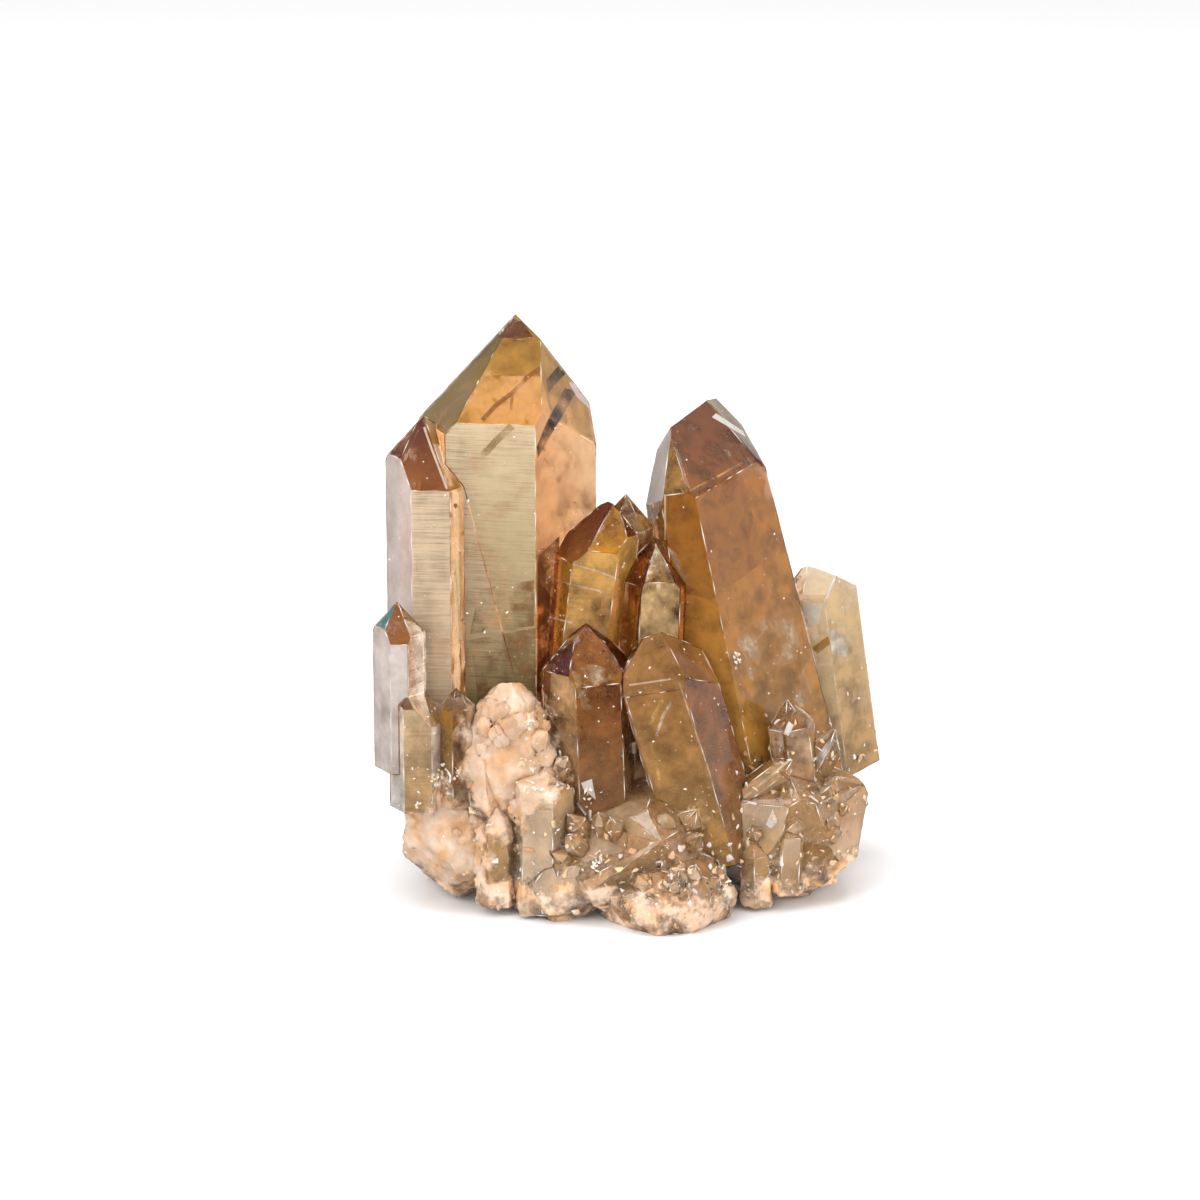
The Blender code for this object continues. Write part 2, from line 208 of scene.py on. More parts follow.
# Narrow lines: photograph pixels along each, width in pixels, depth in millimetres, then as for patches.
LINES = {
    "tall left, thin band": (
        ((482, 420), (496, 405), (512, 393), (526, 378), (540, 368)), 4.4, 0.06, "umber", 0.5, 1.0,
    ),
    "tall left, crossing": (((512, 396), (511, 410)), 3.0, 0.06, "umber", 0.3, 1.0),
    "tall left, shadow of the band": (
        ((474, 462), (486, 452), (497, 440), (512, 426)), 7.0, 0.06, "khaki", 0.4, 1.0,
    ),
    "left side, light seam": (((424, 427), (432, 450), (447, 489)), 2.2, 0.05, "beige", 0.9, 0.2),
    "left side, golden seam": (((455, 560), (458, 600), (461, 640)), 2.0, 0.05, "cream", 0.9, 0.2),
    "leaning right, step": (
        ((678, 483), (689, 491), (720, 475), (752, 457)), 1.8, 0.05, "honey", 0.5, 1.0,
    ),
    "leaning right, left seam": (((665, 494), (665, 540)), 2.0, 0.05, "blush", 0.9, 0.3),
    "middle, upper step": (((555, 580), (569, 584), (608, 593)), 1.8, 0.05, "blush", 0.6, 0.8),
    "middle, lower step": (((549, 617), (572, 623)), 2.0, 0.05, "blush", 0.7, 0.8),
    "middle, brow": (((572, 564), (600, 572), (620, 580)), 1.6, 0.05, "blush", 0.7, 0.6),
    "clear middle, seam": (((648, 560), (640, 600), (636, 640)), 1.8, 0.1, "bark", 0.8, 0.3),
    "smoky front, brow": (((629, 685), (650, 682), (671, 679)), 1.8, 0.05, "blush", 0.8, 0.4),
    "smoky front, first golden crack": (
        ((662, 700), (654, 716), (647, 732)), 4.0, 0.06, "gold", 0.5, 1.0,
    ),
    "smoky front, second golden crack": (
        ((671, 702), (663, 716), (656, 736)), 3.0, 0.06, "cream", 0.4, 1.0,
    ),
    "smoky front, third golden crack": (
        ((650, 742), (656, 762), (659, 780)), 3.0, 0.06, "gold", 0.4, 1.0,
    ),
    "smoky front, ridge": (
        ((679, 682), (692, 722), (708, 767), (725, 828)), 1.6, 0.05, "blush", 0.5, 0.7,
    ),
    # A painted highlight along the pale point's edge.
    "pale right, painted edge highlight": (((835, 578), (826, 599)), 2.6, 0.05, "snow", 1.0, 0.1),
    "shoulder, slanted edge": (((744, 798), (768, 778), (791, 759)), 2.4, 0.05, "cream", 0.8, 0.5),
    "stub, seam": (((577, 803), (586, 815)), 2.0, 0.05, "snow", 0.8, 0.4),
}
# Patches lie so many millimetres deep, follow the faces in steps of so many pixels, and break off where the
# ground drops this far.
PATCH_DEPTH = 0.06
PATCH_STEP = 5.0
PATCH_DROP = 1.5 * MM

# Tones of the faces that have none above: points, and the root with its pink left side, in millimetres.
POINTS_START = 18.0
CLEAR_TONES = ("honey", "amber", "umber", "gold", "tan", "khaki")
PINK_SIDE = -8.0
ROOT_TONES = ("clay", "clay", "tan", "tan", "blush", "smoke", "clay", "blush", "tan")
PINK_ROOT_TONES = ("blush", "blush", "blush", "beige", "beige", "tan", "cream", "snow")

SHEET_DEPTH = 0.12 * MM
SHEET_MARGIN = 0.08 * MM
SMALLEST_SHEET = 0.2 * MM * MM
CORE_DEPTH = 0.45 * MM

# Light on polished quartz: the share that its faces mirror, the light that falls on them, the share that
# reaches a dull sheet below and comes back, and the share turned back inside.
GLARE = 0.045
LIGHT_ON_FACES = 0.95
LET_THROUGH = 0.36
TURNED_BACK = 0.6
QUARTZ_IOR = 1.544

# The chips' seed is for Blender's noise vectors, which otherwise differ from run to run.
SEEDS = {"sheets": 5, "veils": 9, "rubble": 11, "edges": 31, "specks": 77, "films": 23, "chips": 3}

# The skin in millimetres: its longest edges and how far growth moves it, and the same edges of the sheets.
SKIN_EDGE = 1.0
SKIN_RELIEF = 0.04
SHEET_EDGE = 1.5
# The tint that clear quartz gives to light, and how dense it is.
QUARTZ_TINT = (0.93, 0.56, 0.15, 1.0)
QUARTZ_DENSITY = 130.0
# The milky root in millimetres: its top, how far that wanders, and the height over which it fades.
MILK_TOP = 15.0
MILK_WANDER = 3.0
MILK_FADE = 10.0

# Pale threads painted as highlights along edges sharper than this, in millimetres: lengths, and for
# the root and for the points the shortest edge that has any and their radii.
SHARP_EDGE = math.radians(22)
THREAD_RUNS = (0.3, 3.5)
ROOT_THREADS = (0.7, (0.02, 0.07))
POINT_THREADS = (1.5, (0.02, 0.05))
# Specks in millimetres: heights between which they thin out; smallest, usual extra and largest radius.
SPECK_COUNT = 4200
SPECK_HEIGHTS = (10.0, 60.0)
SPECK_RADII = (0.035, 0.04, 0.2)
# Golden films: lowest height and thinnest quartz in millimetres, depths as shares of the quartz's
# thickness, radii in millimetres and thickness as a share of the radius.
FILM_COUNT = 700
FILM_HEIGHT = 9.0
FILM_ROOM = 3.0
FILM_DEPTHS = (0.06, 0.4)
FILM_RADII = (0.08, 0.5)
FILM_FLATNESS = (0.01, 0.03)

# Brightness of the studio round the specimen, from straight down at 0 to straight up at 1.
SKY_BOTTOM = 0.15
SKY_BANDS = ((0.46, 0.3), (0.5, 1.0), (0.56, 0.8), (0.62, 0.35), (0.75, 0.35), (0.85, 0.5))
SKY_TINT = (1.0, 0.98, 0.97)
SKY_STRENGTH = 1.2
DIM_FRONT = 0.25
FLOOR_HALF = 3.0
# Softboxes: place, point aimed at and size in metres, watts, and whether faces mirror it.
SOFTBOXES = {
    "overhead": ((0.0, 0.1, 0.9), (0, 0, 0.02), (0.8, 0.8), 5.0, True),
    "front fill": ((0.0, -1.0, 0.2), (0, 0, 0.03), (1.2, 0.7), 4.0, False),
    "front left": ((-0.8, -0.6, 0.7), (0, 0, 0.02), (1.0, 1.0), 10.0, False),
    "front right": ((0.8, -0.6, 0.5), (0, 0, 0.02), (0.9, 0.9), 6.0, False),
}


# Colours

def linear(tone):
    """A tone's shader values."""
    return [((part / 255 + 0.055) / 1.055) ** 2.4 for part in TONES[tone]]


def under_glass(colour):
    """How pale a dull sheet has to be for this colour to show through polished quartz."""
    seen = [max(0.0, part - GLARE) / LIGHT_ON_FACES for part in colour]
    return tuple(part / (LET_THROUGH + TURNED_BACK * part) for part in seen)


def between(first, second, share):
    """The first colour at share 0, the second at 1."""
    return tuple(a + (b - a) * share for a, b in zip(first, second))


def clamp(value, low=0.0, high=1.0):
    return max(low, min(high, value))


# Meshes

def new_piece(name, shape, material, smooth_angle=None):
    """Makes an object of a metre shape and lets it ride with the specimen."""
    mesh = bpy.data.meshes.new(name)
    shape.to_mesh(mesh)
    shape.free()
    mesh.materials.append(material)
    if smooth_angle is not None:
        mesh.polygons.foreach_set("use_smooth", [True] * len(mesh.polygons))
        mesh.set_sharp_from_angle(angle=math.radians(smooth_angle))
    piece = bpy.data.objects.new(name, mesh)
    bpy.context.scene.collection.objects.link(piece)
    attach(piece, BODY)
    return piece


def whole_faces(mesh):
    """The solid's mesh with its split corners joined and each flat face in one piece."""
    shape = bmesh.new()
    shape.from_mesh(mesh)
    bmesh.ops.remove_doubles(shape, verts=shape.verts, dist=1e-6)
    bmesh.ops.dissolve_limit(
        shape, angle_limit=math.radians(0.6), use_dissolve_boundaries=False,
        verts=shape.verts, edges=shape.edges, delimit=set(),
    )
    shape.faces.ensure_lookup_table()
    return shape


def refine(shape, longest, rounds=8):
    """Halves long edges until none is longer than asked."""
    bmesh.ops.triangulate(shape, faces=[face for face in shape.faces if len(face.verts) > 3])
    for _ in range(rounds):
        long_edges = [edge for edge in shape.edges if edge.calc_length() > longest]
        if not long_edges:
            break
        bmesh.ops.subdivide_edges(shape, edges=long_edges, cuts=1)
        bmesh.ops.triangulate(shape, faces=[face for face in shape.faces if len(face.verts) > 3])


def growth_relief(shape, depth):
    """Moves the skin by tiny amounts: terraces across the upright faces and shallow hills elsewhere."""
    shape.normal_update()
    moves = []
    for corner in shape.verts:
        place = corner.co / MM
        upright = 1.0 - min(1.0, abs(corner.normal.z) * 2.0)
        terrace = noise.noise(Vector((place.x * 0.12, place.y * 0.12, place.z * 1.3)))
        hill = noise.noise(place * 0.35)
        moves.append(corner.normal * depth * (terrace * upright + 0.8 * hill))
    for corner, move in zip(shape.verts, moves):
        corner.co += move


def sight_line(pixel):
    """The direction from the photograph's viewpoint through one of its pixels."""
    across = (pixel[0] - PHOTO_SIDE / 2) / FOCAL_PIXELS
    up = (PHOTO_SIDE / 2 - pixel[1]) / FOCAL_PIXELS
    return (FORWARD + RIGHT * across + UPWARD * up).normalized()


# Shared parts of the materials

def node(tree, kind, x, y, **settings):
    made = tree.nodes.new(kind)
    made.location = (x, y)
    for key, value in settings.items():
        setattr(made, key, value)
    return made


def sums(tree, operation, first, second, x, y, clamped=False):
    """A Math node fed by sockets or plain numbers."""
    made = node(tree, "ShaderNodeMath", x, y, operation=operation, use_clamp=clamped)
    for slot, value in zip(made.inputs, (first, second)):
        if isinstance(value, bpy.types.NodeSocket):
            tree.links.new(value, slot)
        else:
            slot.default_value = value
    return made.outputs[0]


def mixture(tree, first, second, share, x, y):
    """Two patterns added up, with this share of the first."""
    part = sums(tree, "MULTIPLY", first, share, x, y)
    rest = sums(tree, "MULTIPLY", second, 1.0 - share, x, y - 200)
    return sums(tree, "ADD", part, rest, x + 200, y)


def noise_at(tree, vector, scale, detail, x, y, roughness=0.5):
    made = node(tree, "ShaderNodeTexNoise", x, y)
    made.inputs["Scale"].default_value = scale
    made.inputs["Detail"].default_value = detail
    made.inputs["Roughness"].default_value = roughness
    tree.links.new(vector, made.inputs["Vector"])
    return made.outputs["Fac"]


def quartz_growth():
    """Shared patterns of the quartz: growth lines across the points, clouds and fine grain, each 0 to 1."""
    group = bpy.data.node_groups.new("quartz growth", "ShaderNodeTree")
    for name in ("Lines", "Cloud", "Grain"):
        group.interface.new_socket(name, in_out="OUTPUT", socket_type="NodeSocketFloat")
    where = node(group, "ShaderNodeTexCoord", -900, 0)
    flat = node(group, "ShaderNodeMapping", -700, 200)
    flat.inputs["Scale"].default_value = (0.03, 0.03, 1.0)
    group.links.new(where.outputs["Object"], flat.inputs["Vector"])
    lines = noise_at(group, flat.outputs["Vector"], 6000.0, 4.0, -500, 200, 0.65)
    cloud = noise_at(group, where.outputs["Object"], 330.0, 6.0, -500, 0, 0.62)
    grain = noise_at(group, where.outputs["Object"], 2600.0, 3.0, -500, -200)
    broken = mixture(group, lines, cloud, 0.6, -300, 300)
    out = node(group, "NodeGroupOutput", 0, 0)
    group.links.new(broken, out.inputs["Lines"])
    group.links.new(cloud, out.inputs["Cloud"])
    group.links.new(grain, out.inputs["Grain"])
    return group


def growth_node(tree, growth):
    made = node(tree, "ShaderNodeGroup", -1100, 0)
    made.node_tree = growth
    return made


def kept(tree, name, y):
    """A value kept on the mesh."""
    return node(tree, "ShaderNodeAttribute", -1100, y, attribute_name=name)


def shaded(tree, tone, pattern, spans, strength=1.0):
    """A tone times a grey from a pattern: spans holds the pattern's low and high, then their greys."""
    grey = node(tree, "ShaderNodeMapRange", -500, 200)
    for name, value in zip(("From Min", "From Max", "To Min", "To Max"), spans):
        grey.inputs[name].default_value = value
    tree.links.new(pattern, grey.inputs["Value"])
    shade = node(tree, "ShaderNodeMix", -300, 300, data_type="RGBA", blend_type="MULTIPLY")
    if isinstance(strength, bpy.types.NodeSocket):
        tree.links.new(strength, shade.inputs[0])
    else:
        shade.inputs[0].default_value = strength
    tree.links.new(tone, shade.inputs[6])
    tree.links.new(grey.outputs["Result"], shade.inputs[7])
    return shade.outputs[2]


def bumps(tree, shader, height, strength, distance):
    bump = node(tree, "ShaderNodeBump", -300, -1000)
    bump.inputs["Strength"].default_value = strength
    bump.inputs["Distance"].default_value = distance
    tree.links.new(height, bump.inputs["Height"])
    tree.links.new(bump.outputs["Normal"], shader.inputs["Normal"])


def fresh_material(name, finish):
    """A material with these shader values, its node tree and its shader."""
    material = bpy.data.materials.new(name)
    material.use_nodes = True
    shader = material.node_tree.nodes["Principled BSDF"]
    for socket, value in finish.items():
        shader.inputs[socket].default_value = value
    return material, material.node_tree, shader


def plain_material(name, finish):
    return fresh_material(name, finish)[0]


def clear_quartz(growth):
    """Smoky orange glass with faint growth lines."""
    material, tree, shader = fresh_material("clear citrine", {
        "Base Color": (1.0, 0.98, 0.96, 1.0), "Roughness": 0.03,
        "IOR": QUARTZ_IOR, "Transmission Weight": 1.0,
    })
    pattern = growth_node(tree, growth)
    height = mixture(tree, pattern.outputs["Lines"], pattern.outputs["Grain"], 0.7, -700, 0)
    bumps(tree, shader, height, 0.25, 0.05 * MM)
    absorb = node(tree, "ShaderNodeVolumeAbsorption", 0, -400)
    absorb.inputs["Color"].default_value = QUARTZ_TINT
    absorb.inputs["Density"].default_value = QUARTZ_DENSITY
    tree.links.new(absorb.outputs["Volume"], tree.nodes["Material Output"].inputs["Volume"])
    return material


def clouded_quartz(growth):
    """Thin clouds and growth lines just under a face, in the tone and cover kept on the mesh."""
    material, tree, shader = fresh_material("clouded quartz", {"Roughness": 0.6})
    pattern = growth_node(tree, growth)
    tone, cover = kept(tree, "tone", 400), kept(tree, "cover", -300)
    lined, clouding = kept(tree, "lined", -500), kept(tree, "clouding", -700)
    # The pattern is clouds where a face is not lined, and growth lines where it is.
    mixed = node(tree, "ShaderNodeMix", -800, 0, data_type="FLOAT")
    tree.links.new(lined.outputs["Fac"], mixed.inputs[0])
    tree.links.new(pattern.outputs["Cloud"], mixed.inputs[2])
    tree.links.new(pattern.outputs["Lines"], mixed.inputs[3])
    centred = sums(tree, "SUBTRACT", mixed.outputs[0], 0.5, -650, 0)
    swing = sums(tree, "MULTIPLY", clouding.outputs["Fac"], 3.5, -650, -300)
    strong = sums(tree, "MULTIPLY", centred, swing, -500, 0)
    alpha = sums(tree, "ADD", strong, cover.outputs["Fac"], -350, -200, clamped=True)
    tree.links.new(alpha, shader.inputs["Alpha"])
    spans = (0.3, 0.7, 0.6, 1.25)
    shade = shaded(tree, tone.outputs["Color"], mixed.outputs[0], spans, clouding.outputs["Fac"])
    tree.links.new(shade, shader.inputs["Base Color"])
    return material


def milky_quartz(growth):
    """Cloudy quartz of the root, whose cover fades out upwards."""
    material, tree, shader = fresh_material("milky quartz", {"Roughness": 0.5})
    pattern = growth_node(tree, growth)
    tone, cover = kept(tree, "tone", 400), kept(tree, "cover", -300)
    centred = sums(tree, "SUBTRACT", pattern.outputs["Cloud"], 0.5, -650, 0)
    strong = sums(tree, "MULTIPLY", centred, 3.0, -500, 0)
    alpha = sums(tree, "ADD", strong, cover.outputs["Fac"], -350, -200, clamped=True)
    tree.links.new(alpha, shader.inputs["Alpha"])
    shade = shaded(tree, tone.outputs["Color"], pattern.outputs["Grain"], (0.35, 0.65, 0.7, 1.15))
    tree.links.new(shade, shader.inputs["Base Color"])
    return material


# The quartz

def clear_crystals(cad, growth):
    shape = whole_faces(cad.data)
    refine(shape, SKIN_EDGE * MM)
    growth_relief(shape, SKIN_RELIEF * MM)
    piece = new_piece("clear_crystals", shape, clear_quartz(growth), smooth_angle=18.0)
    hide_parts(CAD_NODE)
    return piece


def usual_look(face, dice):
    """Tones, cover, lines and clouding of a face that FACES leaves out, by its place on the specimen."""
    if face.calc_center_median().z > POINTS_START * MM:
        tone = dice.choice(CLEAR_TONES)
        lined = dice.choice((0.0, 0.0, 0.5)) if abs(face.normal.z) < 0.3 else 0.0
        return tone, tone, dice.uniform(-0.1, 0.35), lined, dice.uniform(0.5, 1.0)
    tones = PINK_ROOT_TONES if face.calc_center_median().x < PINK_SIDE * MM else ROOT_TONES
    return dice.choice(tones), dice.choice(tones), dice.uniform(0.3, 1.0), 0.0, dice.uniform(0.2, 0.8)


def sheets_under(shape, mark, looks, depth, margin, smallest):
    """Turns a marked copy of the solid into one thin sheet under each face that is big enough."""
    small = [face for face in shape.faces
             if face.calc_area() < smallest or face.calc_area() < 0.8 * margin * face.calc_perimeter()]
    bmesh.ops.delete(shape, geom=small, context="FACES")
    rims = bmesh.ops.inset_individual(shape, faces=shape.faces[:], thickness=margin, depth=-depth)
    bmesh.ops.delete(shape, geom=rims["faces"], context="FACES")
    heights = {}
    for face in shape.faces:
        level = [corner.co.z for corner in face.verts]
        heights[face[mark]] = (min(level), max(level))
    refine(shape, SHEET_EDGE * MM)
    tone_layer = shape.loops.layers.float_color.new("tone")
    layers = [shape.verts.layers.float.new(name) for name in SHEET_AMOUNTS]
    for face in shape.faces:
        upper, lower, *amounts = looks[face[mark]]
        bottom, top = heights[face[mark]]
        ends = under_glass(linear(lower)), under_glass(linear(upper))
        for loop in face.loops:
            share = clamp((loop.vert.co.z - bottom) / max(top - bottom, 1e-6))
            loop[tone_layer] = (*between(*ends, share), 1.0)
            for layer, amount in zip(layers, amounts):
                loop.vert[layer] = amount


def clouded_sheets(cad, cloudy):
    """One thin clouded sheet under each face of the solid."""
    shape = whole_faces(cad.data)
    tree = BVHTree.FromBMesh(shape)
    looks = {}
    for pixel, *look in FACES.values():
        looks[tree.ray_cast(EYE, sight_line(pixel))[2]] = look
    mark = shape.faces.layers.int.new("facet")
    dice = random.Random(SEEDS["sheets"])
    for number, face in enumerate(shape.faces):
        face[mark] = number
        if number not in looks:
            looks[number] = usual_look(face, dice)
    sheets_under(shape, mark, looks, SHEET_DEPTH, SHEET_MARGIN, SMALLEST_SHEET)
    return new_piece("clouded_sheets", shape, cloudy)


def veil_look(face, dice):
    """Thin pale wisps in the clear points, dense brown smoke in the smoky ones."""
    centre = face.calc_center_median() / MM
    smoky = SMOKY_SIDES[0] < centre.x < SMOKY_SIDES[1] and (centre.z < SMOKY_TOP or centre.x > 0.0)
    tones = SMOKE_TONES if smoky else VEIL_TONES
    cover = dice.uniform(0.45, 0.8) if smoky else dice.uniform(-0.45, 0.0)
    return dice.choice(tones), dice.choice(tones), cover, 0.0, 0.8 if smoky else 1.0


def inner_veils(cad, cloudy):
    """Wisps and smoke that hang deeper inside the large points."""
    dice = random.Random(SEEDS["veils"])
    for name, depth, margin, smallest in VEILS:
        shape = whole_faces(cad.data)
        mark = shape.faces.layers.int.new("facet")
        looks = {}
        for number, face in enumerate(shape.faces):
            face[mark] = number
            looks[number] = veil_look(face, dice)
        sheets_under(shape, mark, looks, depth, margin, smallest)
        new_piece(name, shape, cloudy)


def sunk_polygon(shape, tree, layers, pixels, depth, look):
    """A small sheet seen at these photograph pixels, some way under the faces there."""
    tone_layer, *amount_layers = layers
    tone, cover, clouding = look
    amounts = cover, 0.0, clouding
    flat = bmesh.new()
    flat.faces.new([flat.verts.new((*pixel, 0.0)) for pixel in pixels])
    refine(flat, PATCH_STEP)
    found = {}
    for spot in flat.verts:
        line = sight_line(spot.co)
        place, out, _, distance = tree.ray_cast(EYE, line)
        if place is not None:
            corner = shape.verts.new(place - out * depth * MM)
            for layer, amount in zip(amount_layers, amounts):
                corner[layer] = amount
            found[spot] = corner, distance
    for face in flat.faces:
        corners = [found[spot] for spot in face.verts if spot in found]
        distances = [distance for _, distance in corners]
        if len(corners) < 3 or max(distances) - min(distances) > PATCH_DROP:
            continue
        made = shape.faces.new([corner for corner, _ in corners])
        for loop in made.loops:
            loop[tone_layer] = (*under_glass(linear(tone)), 1.0)
    flat.free()


def strip(first, last, width):
    """The four corners of a narrow strip between two pixels."""
    along = Vector((last[0] - first[0], last[1] - first[1])).normalized() * width / 2
    side = (-along.y, along.x)
    return [(first[0] + side[0], first[1] + side[1]), (last[0] + side[0], last[1] + side[1]),
            (last[0] - side[0], last[1] - side[1]), (first[0] - side[0], first[1] - side[1])]


def inclusions(cad, cloudy):
    """Cracks, bands and steps that the photograph shows, with painted highlights and painted shade."""
    ground = whole_faces(cad.data)
    tree = BVHTree.FromBMesh(ground)
    shape = bmesh.new()
    layers = [shape.loops.layers.float_color.new("tone")]
    layers += [shape.verts.layers.float.new(name) for name in SHEET_AMOUNTS]
    for pixels, *look in PATCHES.values():
        sunk_polygon(shape, tree, layers, pixels, PATCH_DEPTH, look)
    for pixels, width, depth, *look in LINES.values():
        for first, last in zip(pixels, pixels[1:]):
            sunk_polygon(shape, tree, layers, strip(first, last, width), depth, look)
    ground.free()
    new_piece("inclusions", shape, cloudy)


def milk_level(place):
    """How milky the quartz is at a place in millimetres: 0 clear, 1 full."""
    level = MILK_TOP + MILK_WANDER * noise.noise(place * 0.15)
    return clamp((level + MILK_FADE / 2 - place.z) / MILK_FADE, 0.0, 1.4)


def root_tone(place):
    """The root's tone at a place: pale below, pink on the left and tan on the right."""
    drift = noise.noise(place * 0.22) + 0.5 * noise.noise(place * 0.6)
    pink = clamp((PINK_SIDE + 4.0 - place.x) / 8.0)
    side = between(linear("clay"), linear("blush"), pink)
    first = between(linear("tan"), side, clamp(0.6 + drift))
    pale = between(linear("blush"), linear("snow"), 0.4)
    return between(first, pale, clamp(1.0 - place.z / 7.0 + 0.5 * drift))


def milky_core(skin, growth):
    shape = bmesh.new()
    shape.from_mesh(skin.data)
    shape.normal_update()
    cover_layer = shape.verts.layers.float.new("cover")
    tone_layer = shape.verts.layers.float_color.new("tone")
    moved = [corner.co - corner.normal * CORE_DEPTH for corner in shape.verts]
    for corner, place in zip(shape.verts, moved):
        corner.co = place
        corner[cover_layer] = milk_level(place / MM)
        corner[tone_layer] = (*under_glass(root_tone(place / MM)), 1.0)
    empty = [face for face in shape.faces if all(corner[cover_layer] <= 0.0 for corner in face.verts)]
    bmesh.ops.delete(shape, geom=empty, context="FACES")
    return new_piece("milky_core", shape, milky_quartz(growth), smooth_angle=30.0)


# Broken, sugary ground: centre and half-widths in millimetres, how far its chips tilt, how far it stands
# out and its fullest cover.
ROUGH = {
    "peak": ((-12.2, -12.5, 17.0), (5.8, 6.2, 9.6), 0.5, 0.16, 1.0),
    "left block": ((-17.4, -8.0, 7.2), (7.0, 6.4, 8.0), 0.5, 0.10, 1.0),
    "front toe": ((3.0, -12.0, 2.0), (13.0, 9.0, 8.0), 0.5, -0.35, 0.3),
    "right foot": ((14.0, -7.0, 2.0), (12.0, 9.0, 8.5), 0.5, -0.35, 0.3),
    "left foot": ((-8.5, -11.0, 1.5), (9.0, 7.0, 7.0), 0.5, -0.30, 0.3),
    "back": ((0.0, 12.0, 3.0), (25.0, 10.0, 8.0), 0.5, -0.10, 0.3),
    "front rim": ((2.0, -14.0, 0.0), (20.0, 10.0, 5.2), 0.4, 0.08, 0.42),
    "left rim": ((-14.0, -10.0, 0.0), (12.0, 9.0, 4.6), 0.4, 0.08, 0.42),
    "right rim": ((19.0, -5.0, 0.0), (14.0, 11.0, 5.6), 0.4, 0.08, 0.42),
}
# Raised ground lies on the quartz and sunk ground under it, each between two heights in millimetres.
RAISED_HEIGHTS = (0.05, 0.5)
SUNK_HEIGHTS = (-0.9, -0.06)
# Sizes of the chips in millimetres and how strongly each shows, and the longest edge of their mesh.
CHIPS = ((1.7, 0.8), (0.8, 0.9))
CHIP_EDGE = 0.42
# Ground with a thin cover is a little brighter than fully covered ground.
THIN_BRIGHTNESS = 1.1
FULL_BRIGHTNESS = 0.92

# Where rubble sits: centre and half-widths in millimetres, grains, and their usual radius.
RUBBLE = {
    "peak": ((-12.2, -9.5, 16.5), (4.6, 4.2, 7.0), 90, 0.30),
    "left block": ((-18.0, -8.5, 8.0), (7.0, 5.5, 7.0), 110, 0.34),
    "front foot": ((-6.5, -11.0, 5.0), (8.0, 6.0, 6.5), 90, 0.36),
    "front toe": ((4.0, -14.0, 3.5), (8.0, 6.0, 6.0), 120, 0.38),
    "right shoulder": ((15.5, -6.0, 9.0), (9.0, 7.0, 10.0), 150, 0.34),
    "right foot": ((10.5, -8.0, 3.0), (12.0, 8.0, 4.0), 90, 0.32),
    "back left": ((-10.0, 10.0, 7.0), (15.0, 10.0, 10.0), 300, 0.42),
    "back right": ((10.0, 10.0, 7.0), (17.0, 11.0, 11.0), 340, 0.42),
}
RUBBLE_TONES = ("beige", "beige", "cream", "tan", "blush", "snow", "pearl")
CLEAR_SHARE = 0.12
LOWEST_GRAIN = 0.6

# Heaps of white chips: a photograph pixel, spread in pixels, chips and their usual radius in millimetres.
CHIP_HEAPS = {
    "knob on the block": ((440, 778), (9, 12), 40, 0.30),
    "nib on the block": ((459, 772), (5, 8), 16, 0.26),
    "peak, lower patch": ((541, 759), (17, 18), 120, 0.32),
    "peak, upper patch": ((538, 724), (12, 12), 60, 0.30),
    "peak, foot": ((541, 788), (22, 8), 60, 0.28),
    "peak, crest": ((508, 700), (14, 8), 24, 0.18),
    "peak, middle": ((508, 730), (14, 16), 24, 0.16),
    "chip on the leaning point": ((737, 658), (4, 13), 16, 0.22),
    "chip beside the smoky point": ((588, 793), (6, 10), 8, 0.24),
    "chip on the foot": ((599, 860), (7, 10), 16, 0.22),
    "chip on the shoulder": ((772, 819), (4, 8), 6, 0.22),
    "right foot": ((735, 893), (16, 10), 24, 0.20),
}
# Chips fall only on faces less than this far beyond the point that the view aims at.
CHIP_REACH = 12 * MM
CHIP_TONES = ("snow", "snow", "pearl", "cream", "beige")
LOOSE_GRAINS = 24


def scattered(shape, wanted, dice, fits):
    """Random places on a shape's faces where fits(place, normal) holds, as (place, normal)."""
    faces = [face for face in shape.faces if fits(face.calc_center_median() / MM, face.normal)]
    if not faces:
        return
    sizes = [face.calc_area() for face in faces]
    for face in dice.choices(faces, weights=sizes, k=wanted):
        first, second = sorted((dice.random(), dice.random()))
        a, b, c = (corner.co for corner in face.verts[:3])
        yield a * first + b * (second - first) + c * (1 - second), face.normal


def angular_grains(dice):
    """A few broken shapes to copy: their corners on a ball of radius 1, and their faces."""
    grains = []
    for _ in range(LOOSE_GRAINS):
        shape = bmesh.new()
        for _ in range(dice.randint(9, 12)):
            shape.verts.new(Vector([dice.gauss(0, 1) for _ in range(3)]).normalized())
        bmesh.ops.convex_hull(shape, input=shape.verts)
        shape.verts.index_update()
        faces = [[corner.index for corner in face.verts] for face in shape.faces]
        grains.append(([corner.co.copy() for corner in shape.verts], faces))
        shape.free()
    return grains


